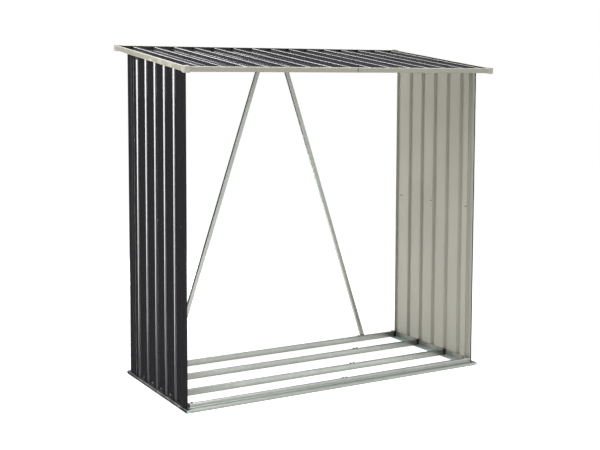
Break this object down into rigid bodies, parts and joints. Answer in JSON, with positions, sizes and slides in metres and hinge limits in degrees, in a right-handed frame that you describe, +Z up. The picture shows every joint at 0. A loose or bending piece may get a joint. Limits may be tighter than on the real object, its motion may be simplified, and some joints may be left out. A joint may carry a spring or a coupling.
{
  "type": "log store",
  "caption": "Open-fronted metal log store with ribbed sheet side walls, a sloping ribbed roof edged with folded trim and corner caps, galvanised base rails and a braced open back.",
  "frame": {"origin": "on the ground under the middle of the roof", "axes": "+Z up, the open front faces -Y, +X to the right as seen from the front"},
  "size_m": [1.63, 0.832, 1.582],
  "materials": {
    "galvanised": "galvanised, satin",
    "sheet": "anthracite coil coating, cream on the inside face",
    "trim": "cream coil coating",
    "cap": "moulded, off-white"
  },
  "bodies": {
    "root": {"side_rail_left": "galvanised", "side_rail_right": "galvanised", "front_rail_left": "galvanised", "front_rail_right": "galvanised", "back_rail_left": "galvanised", "back_rail_right": "galvanised", "floor_rail_front_left": "galvanised", "floor_rail_front_right": "galvanised", "floor_rail_back_left": "galvanised", "floor_rail_back_right": "galvanised", "rail_splices": "galvanised", "left_top_rail": "galvanised", "right_top_rail": "galvanised", "front_beam_left": "galvanised", "front_beam_right": "galvanised", "back_beam_left": "galvanised", "back_beam_right": "galvanised", "beam_splices": "galvanised", "left_brace": "galvanised", "right_brace": "galvanised", "left_wall_front_sheet": "sheet", "left_wall_back_sheet": "sheet", "right_wall_front_sheet": "sheet", "right_wall_back_sheet": "sheet", "front_left_post": "sheet", "front_right_post": "sheet", "back_left_post": "sheet", "back_right_post": "sheet", "roof_sheet_left": "sheet", "roof_sheet_centre_left": "sheet", "roof_sheet_centre_right": "sheet", "roof_sheet_right": "sheet", "front_fascia_left": "trim", "front_fascia_right": "trim", "back_fascia_left": "trim", "back_fascia_right": "trim", "left_verge": "trim", "right_verge": "trim", "front_left_cap": "cap", "front_right_cap": "cap", "back_left_cap": "cap", "back_right_cap": "cap"}
  },
  "joints": []
}
